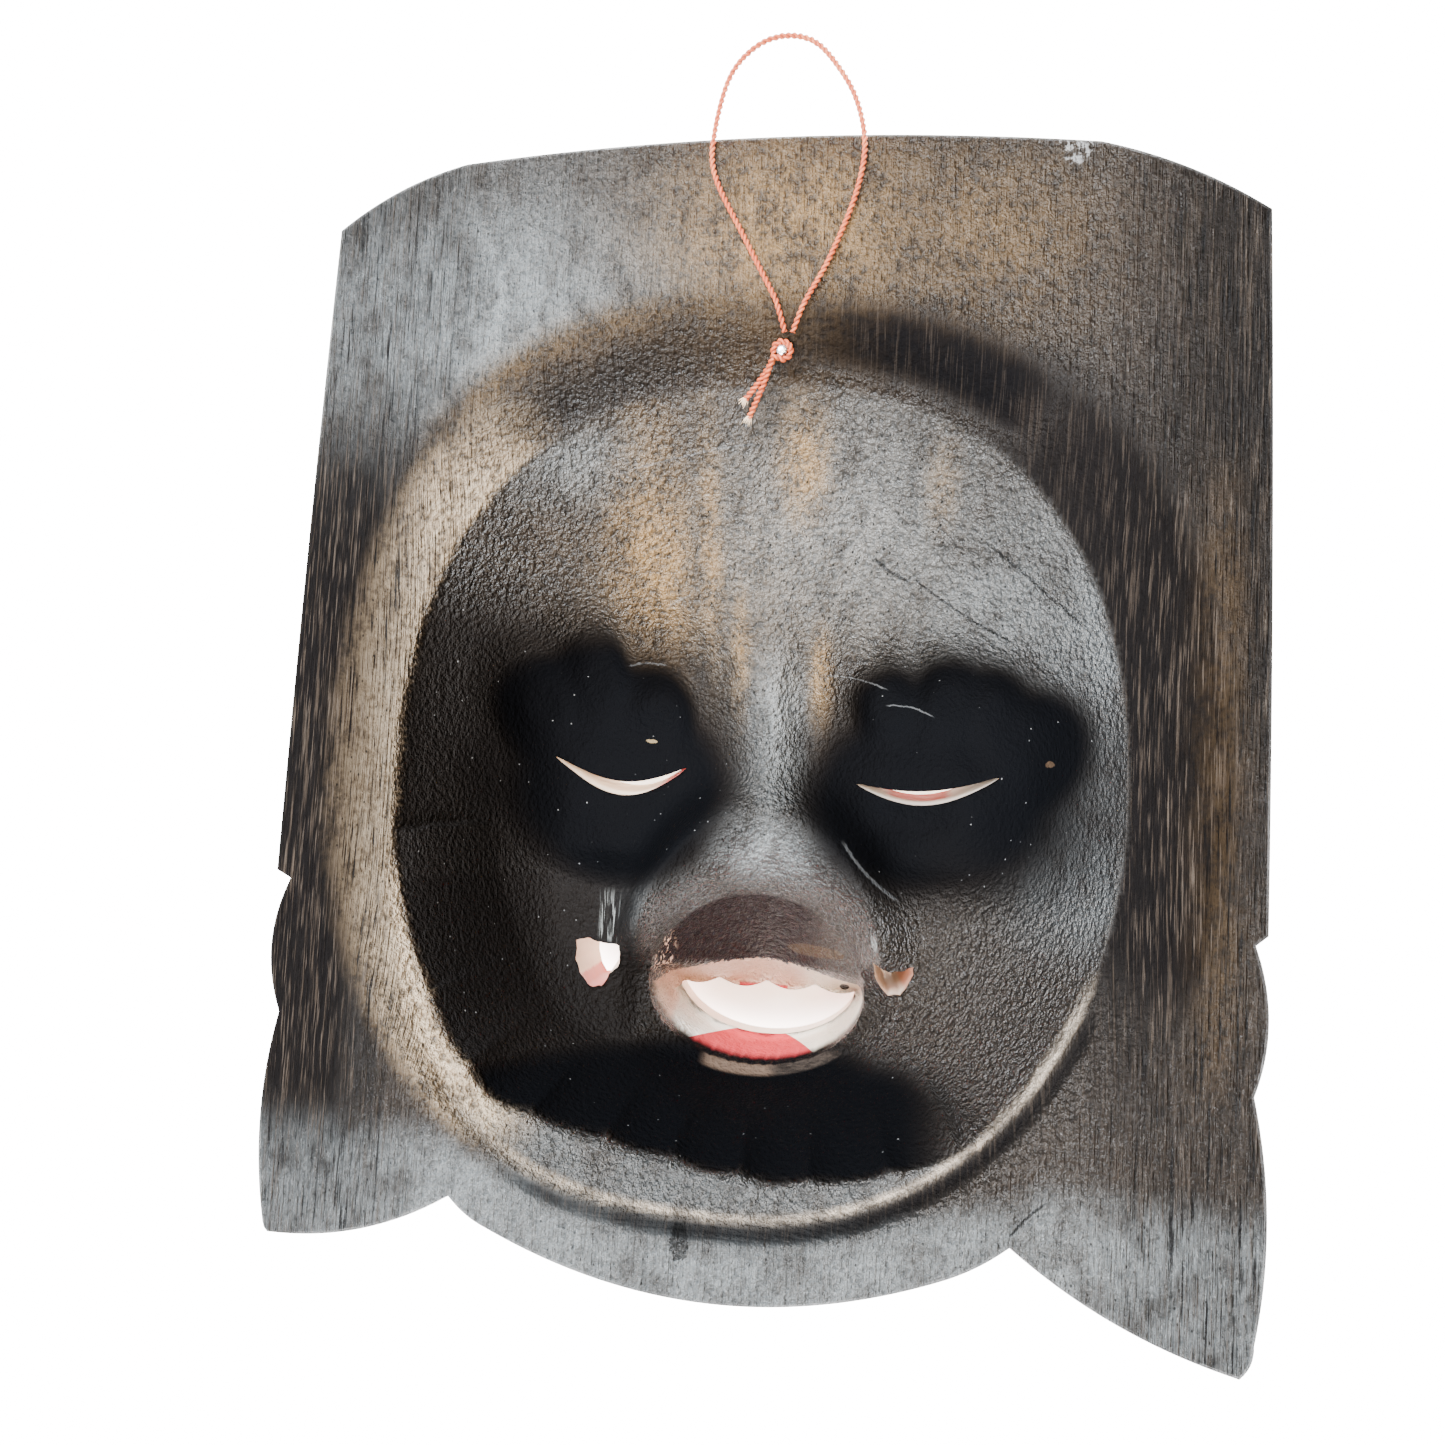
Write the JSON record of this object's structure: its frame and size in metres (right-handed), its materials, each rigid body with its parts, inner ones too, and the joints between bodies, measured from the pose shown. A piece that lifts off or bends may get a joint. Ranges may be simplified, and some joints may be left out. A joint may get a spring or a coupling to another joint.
{
  "type": "carved hanuman wall mask",
  "caption": "Carved and painted wooden monkey-deity wall mask lying face down, with a hollowed back, cut-through eyes and mouth, and a twine hanging loop.",
  "frame": {"origin": "centre of the bounding box in plan, at the level of the surface that the face rests on", "axes": "+Z out of the flat back, which faces up; +Y toward the crown; +X to the right as seen from the back"},
  "size_m": [0.1978, 0.2583, 0.0936],
  "materials": {
    "painted_wood": "dark brown-black semi-gloss paint over open grain on the back, white, gold and red paint on the carved front",
    "nail_steel": "bright small nail head",
    "cord_twine": "twisted waxed orange twine"
  },
  "bodies": {
    "root": {"mask_body": "painted_wood", "hanging_nail": "nail_steel", "hanging_cord": "cord_twine", "cord_knot": "cord_twine"}
  },
  "joints": []
}
